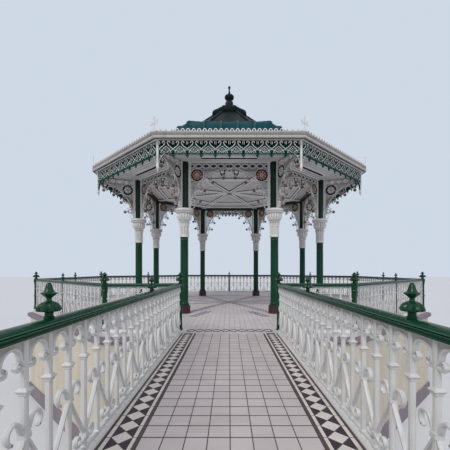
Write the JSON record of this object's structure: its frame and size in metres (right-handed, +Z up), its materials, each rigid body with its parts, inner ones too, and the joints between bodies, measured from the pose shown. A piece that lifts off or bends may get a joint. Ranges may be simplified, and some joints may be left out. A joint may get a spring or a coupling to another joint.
{
  "type": "bandstand",
  "caption": "Octagonal cast-iron bandstand with fretted arches and an ogee roof, on a raised tiled platform reached by a railed bridge.",
  "frame": {"origin": "on the bandstand's axis at ground level, the middle of the podium's underside", "axes": "+Z up, the bridge leads away along -Y, +X to the right of someone walking in over the bridge"},
  "size_m": [16.038, 24.6628, 14.172],
  "materials": {
    "render": "painted smooth render, matt",
    "coping": "painted stone, matt",
    "floor_tile": "unglazed quarry tile with dark joints and guilloche bands",
    "white_iron": "off-white gloss paint on cast iron",
    "green_iron": "dark green gloss paint on cast iron",
    "plinth_paint": "maroon gloss paint on cast iron",
    "fret_green": "dark green paint picked out in off-white",
    "cornice_paint": "pale grey gloss paint",
    "boards": "painted boarding, pale grey",
    "roof_metal": "teal green sheet metal, satin",
    "finial_bronze": "dark bronze green paint, weathered",
    "girder_paint": "green paint on riveted plate"
  },
  "bodies": {
    "root": {"bridge_abutment": "render", "bridge_cross_beams": "girder_paint", "bridge_deck": "floor_tile", "bridge_finials": "green_iron", "bridge_girders": "girder_paint", "bridge_handrails": "green_iron", "bridge_kerbs": "white_iron", "bridge_posts": "white_iron", "bridge_railings": "white_iron", "ceiling": "boards", "ceiling_ribs": "boards", "column_bases": "green_iron", "column_capitals": "white_iron", "column_plinths": "plinth_paint", "column_shafts": "green_iron", "corner_crosses": "cornice_paint", "cornice": "cornice_paint", "cresting": "cornice_paint", "drop_posts": "white_iron", "eaves_brackets": "white_iron", "eaves_frets": "fret_green", "hip_rolls": "roof_metal", "platform_finials": "green_iron", "platform_floor": "floor_tile", "platform_handrails": "green_iron", "platform_kerbs": "white_iron", "platform_posts": "green_iron", "platform_railings": "white_iron", "podium_base_course": "render", "podium_coping": "coping", "podium_wall": "render", "ring_beam": "green_iron", "roof": "roof_metal", "roof_cap": "roof_metal", "roof_finial": "finial_bronze", "soffit": "boards", "spandrel_1": "white_iron", "spandrel_2": "white_iron", "spandrel_3": "white_iron", "spandrel_4": "white_iron", "spandrel_5": "white_iron", "spandrel_6": "white_iron", "spandrel_7": "white_iron", "spandrel_8": "white_iron", "upper_posts": "green_iron"}
  },
  "joints": []
}
